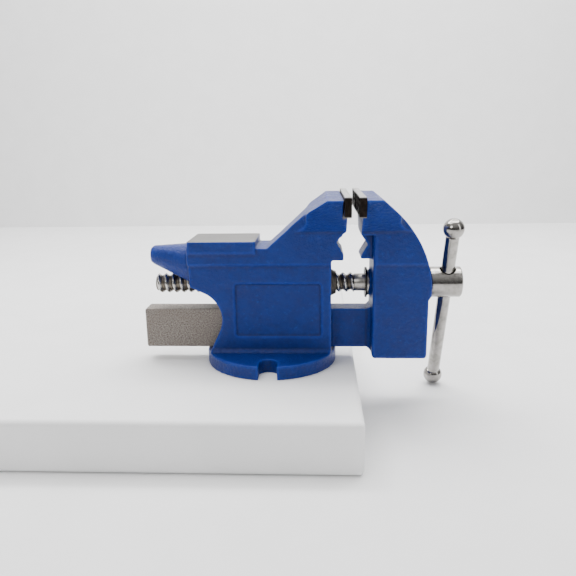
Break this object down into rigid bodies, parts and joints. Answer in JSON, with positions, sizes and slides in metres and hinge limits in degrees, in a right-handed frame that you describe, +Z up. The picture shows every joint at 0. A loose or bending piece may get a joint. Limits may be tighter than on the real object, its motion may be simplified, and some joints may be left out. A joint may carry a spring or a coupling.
{
  "type": "bench vise",
  "caption": "Fixed-base cast-iron bench vise with horn and anvil, pipe jaw, serrated jaw plates, square slide bar, rolled-thread screw and sliding handle.",
  "frame": {"origin": "centre of the round base's underside, on the bench", "axes": "+X along the screw from the horn to the handle, the way the jaw opens; -Y towards the side seen in the picture; +Z up"},
  "size_m": [0.2695, 0.1104, 0.1832],
  "materials": {
    "blue_paint": "blue gloss enamel over rough cast iron",
    "jaw_paint": "blue gloss enamel over rough cast iron; the bar's rear is bare",
    "plate_steel": "hardened, blackened, serrated face",
    "screw_steel": "bright turned and rolled steel, oiled",
    "handle_steel": "bright nickel plate",
    "nut_iron": "machined iron",
    "fastener_steel": "black oxide"
  },
  "bodies": {
    "base": {"vise_body": "blue_paint", "screw_nut": "nut_iron", "nut_set_screw": "fastener_steel", "fixed_jaw_plate": "plate_steel", "fixed_plate_screw_front": "fastener_steel", "fixed_plate_screw_rear": "fastener_steel"},
    "jaw": {"sliding_jaw": "jaw_paint", "sliding_jaw_plate": "plate_steel", "sliding_plate_screw_front": "fastener_steel", "sliding_plate_screw_rear": "fastener_steel"},
    "screw": {"lead_screw": "screw_steel", "screw_retaining_clip": "fastener_steel", "thrust_washer": "screw_steel"},
    "handle": {"handle_bar": "handle_steel", "handle_knob_upper": "handle_steel", "handle_knob_lower": "handle_steel"}
  },
  "joints": [
    {"name": "jaw_slide", "type": "slide", "parent": "base", "child": "jaw", "axis": [1, 0, 0], "range_m": [-0.0057, 0.07]},
    {"name": "screw_turn", "type": "hinge", "parent": "jaw", "child": "screw", "pos_m": [0.13402, 0, 0.0677], "axis": [1, 0, 0], "range_deg": [-326, 3971]},
    {"name": "handle_slide", "type": "slide", "parent": "screw", "child": "handle", "axis": [0, -0.3697, 0.9291], "range_m": [-0.0314, 0.0864]}
  ],
  "couplings": [
    {"joint": "screw_turn", "follows": "jaw_slide", "rad_per_m": 989.48}
  ]
}
